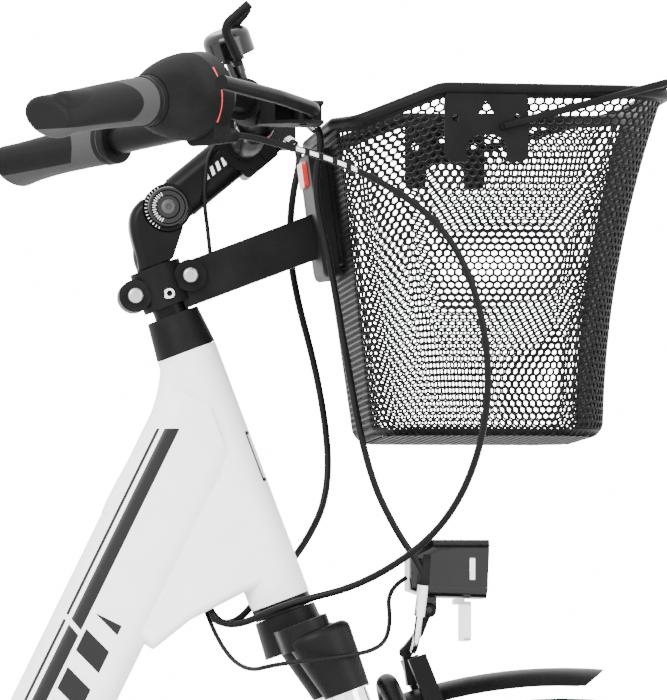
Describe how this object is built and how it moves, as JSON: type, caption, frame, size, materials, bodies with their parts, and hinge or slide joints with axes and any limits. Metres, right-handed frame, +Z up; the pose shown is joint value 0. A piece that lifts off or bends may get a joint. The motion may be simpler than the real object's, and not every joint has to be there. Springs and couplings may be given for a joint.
{
  "type": "city bicycle",
  "caption": "Low-step city bicycle with sprung fork, angle-set stem, wire basket on a quick-release holder, headlight, fenders, carrier and double kickstand.",
  "frame": {"origin": "on the ground, at the centre of the bounding box seen from above", "axes": "+X forwards, +Y to the rider's left, +Z up"},
  "size_m": [1.8518, 0.6124, 1.189],
  "materials": {
    "white_paint": "gloss white enamel",
    "black_metal": "satin black",
    "black_plastic": "moulded black",
    "grey_plastic": "moulded grey",
    "red_plastic": "red button",
    "lens": "clear lens",
    "reflector": "clear reflector",
    "rear_lens": "red lens",
    "chrome": "bright",
    "alloy": "satin",
    "steel": "plain",
    "tyre": "moulded tread",
    "rubber": "soft",
    "saddle_cover": "black cover"
  },
  "bodies": {
    "frame": {"frame_front": "white_paint", "rear_stays": "white_paint", "bearings_and_axle": "steel", "rear_fender": "black_metal", "rear_carrier": "black_metal", "rear_light": "rear_lens", "chain_guard": "black_plastic", "chain": "steel", "seat_clamp": "alloy", "wiring_lead": "black_plastic"},
    "seat_lever": {"seat_clamp_lever": "alloy"},
    "seat": {"seatpost": "alloy", "saddle": "saddle_cover"},
    "cranks": {"crankset": "alloy"},
    "pedal_right": {"right_pedal": "black_plastic"},
    "pedal_left": {"left_pedal": "black_plastic"},
    "driver": {"sprocket": "steel"},
    "rear_wheel": {"rear_tyre": "tyre", "rear_rim": "alloy", "rear_spokes": "steel", "rear_hub": "alloy"},
    "stand": {"kickstand_legs": "black_metal"},
    "fork": {"fork_upper": "chrome", "headset_cone": "black_metal", "stem_base": "black_metal", "basket_holder": "black_plastic", "holder_bolts": "steel", "adapter_plate": "black_plastic"},
    "button": {"release_button": "red_plastic"},
    "bar": {"stem_arm": "black_metal", "stem_bolts": "steel", "handlebar": "black_metal", "grips": "rubber", "brake_lever_mounts": "black_plastic", "shifter_body": "black_plastic", "bell_body": "black_plastic", "shift_cable": "black_plastic", "front_brake_cable": "black_plastic", "rear_brake_cable": "black_plastic"},
    "twist": {"twist_grip": "rubber"},
    "lever_right": {"right_brake_lever": "black_metal"},
    "lever_left": {"left_brake_lever": "black_metal"},
    "bell_striker": {"bell_lever": "black_plastic"},
    "basket": {"basket_shell": "black_metal", "basket_frame": "black_metal"},
    "bail": {"basket_handle": "black_metal"},
    "fork_legs": {"fork_lowers": "black_metal", "front_fender": "black_metal", "lamp_bracket": "black_metal", "front_axle": "steel"},
    "lamp": {"headlight_body": "black_plastic", "headlight_lens": "lens", "front_reflector": "reflector"},
    "arm_right": {"right_brake_arm": "black_metal", "brake_noodle": "steel"},
    "arm_left": {"left_brake_arm": "black_metal"},
    "front_wheel": {"front_tyre": "tyre", "front_rim": "alloy", "front_spokes": "steel", "front_hub": "alloy"}
  },
  "joints": [
    {"name": "seat_height", "type": "slide", "parent": "frame", "child": "seat", "axis": [-0.309, 0, 0.9511], "range_m": [-0.08, 0.04]},
    {"name": "seat_clamp_release", "type": "hinge", "parent": "frame", "child": "seat_lever", "pos_m": [-0.25971, 0.0185, 0.69885], "axis": [1, 0, 0], "range_deg": [0, 120]},
    {"name": "crank_spin", "type": "hinge", "parent": "frame", "child": "cranks", "pos_m": [-0.099, 0, 0.29], "axis": [0, 1, 0], "continuous": true},
    {"name": "right_pedal_spin", "type": "hinge", "parent": "cranks", "child": "pedal_right", "pos_m": [0.071, -0.12, 0.29], "axis": [0, 1, 0], "continuous": true},
    {"name": "left_pedal_spin", "type": "hinge", "parent": "cranks", "child": "pedal_left", "pos_m": [-0.269, 0.12, 0.29], "axis": [0, 1, 0], "continuous": true},
    {"name": "sprocket_spin", "type": "hinge", "parent": "frame", "child": "driver", "pos_m": [-0.554, -0.0475, 0.35], "axis": [0, 1, 0], "continuous": true},
    {"name": "rear_wheel_spin", "type": "hinge", "parent": "frame", "child": "rear_wheel", "pos_m": [-0.554, 0, 0.35], "axis": [0, 1, 0], "continuous": true},
    {"name": "kickstand_fold", "type": "hinge", "parent": "frame", "child": "stand", "pos_m": [-0.171, 0, 0.264], "axis": [0, 1, 0], "range_deg": [0, 75]},
    {"name": "steering", "type": "hinge", "parent": "frame", "child": "fork", "pos_m": [0.37326, 0, 0.76941], "axis": [-0.3535, 0, 0.9354], "range_deg": [-50, 50], "deforming": ["shift_cable", "front_brake_cable", "rear_brake_cable", "wiring_lead"]},
    {"name": "button_push", "type": "slide", "parent": "fork", "child": "button", "axis": [0.9914, 0, 0.1311], "range_m": [0, 0.003], "stiffness_N_per_m": 800, "springref_m": -0.002},
    {"name": "stem_angle", "type": "hinge", "parent": "fork", "child": "bar", "pos_m": [0.29191, 0, 1.04976], "axis": [0, 1, 0], "range_deg": [-35, 0], "deforming": ["shift_cable", "front_brake_cable", "rear_brake_cable"]},
    {"name": "gear_twist", "type": "hinge", "parent": "bar", "child": "twist", "pos_m": [0.28172, -0.21008, 1.11491], "axis": [-0.6887, -0.7154, -0.1175], "range_deg": [-70, 70]},
    {"name": "right_brake_pull", "type": "hinge", "parent": "bar", "child": "lever_right", "pos_m": [0.37893, -0.15, 1.10913], "axis": [0, 0, 1], "range_deg": [-16, 0], "stiffness_Nm_per_rad": 0.6, "springref_deg": 17.19},
    {"name": "left_brake_pull", "type": "hinge", "parent": "bar", "child": "lever_left", "pos_m": [0.37893, 0.15, 1.10913], "axis": [0, 0, 1], "range_deg": [0, 16], "stiffness_Nm_per_rad": 0.6, "springref_deg": -17.19},
    {"name": "bell_strike", "type": "hinge", "parent": "bar", "child": "bell_striker", "pos_m": [0.33193, -0.104, 1.15213], "axis": [-0.3246, -0.1855, 0.9275], "range_deg": [-25, 0], "stiffness_Nm_per_rad": 0.02, "springref_deg": 11.46},
    {"name": "basket_lift", "type": "slide", "parent": "fork", "child": "basket", "axis": [-0.1311, 0, 0.9914], "range_m": [0, 0.08]},
    {"name": "bail_swing", "type": "hinge", "parent": "basket", "child": "bail", "pos_m": [0.518, 0, 1.099], "axis": [0, 1, 0], "range_deg": [-150, 0]},
    {"name": "fork_travel", "type": "slide", "parent": "fork", "child": "fork_legs", "axis": [-0.3535, 0, 0.9354], "range_m": [0, 0.045], "stiffness_N_per_m": 6000, "springref_m": -0.02, "deforming": ["front_brake_cable", "wiring_lead"]},
    {"name": "lamp_tilt", "type": "hinge", "parent": "fork_legs", "child": "lamp", "pos_m": [0.479, 0, 0.763], "axis": [0, 1, 0], "range_deg": [-12, 12], "deforming": ["wiring_lead"]},
    {"name": "right_brake_arm_swing", "type": "hinge", "parent": "fork_legs", "child": "arm_right", "pos_m": [0.5081, -0.042, 0.62474], "axis": [0.9354, 0, 0.3535], "range_deg": [-2.4, 0], "deforming": ["front_brake_cable"]},
    {"name": "left_brake_arm_swing", "type": "hinge", "parent": "fork_legs", "child": "arm_left", "pos_m": [0.5081, 0.042, 0.62474], "axis": [0.9354, 0, 0.3535], "range_deg": [0, 2.4]},
    {"name": "front_wheel_spin", "type": "hinge", "parent": "fork_legs", "child": "front_wheel", "pos_m": [0.576, 0, 0.35], "axis": [0, 1, 0], "continuous": true}
  ],
  "couplings": [
    {"joint": "sprocket_spin", "follows": "crank_spin", "ratio": 2.1111},
    {"joint": "right_brake_arm_swing", "follows": "right_brake_pull", "ratio": 0.15},
    {"joint": "left_brake_arm_swing", "follows": "right_brake_pull", "ratio": -0.15}
  ]
}
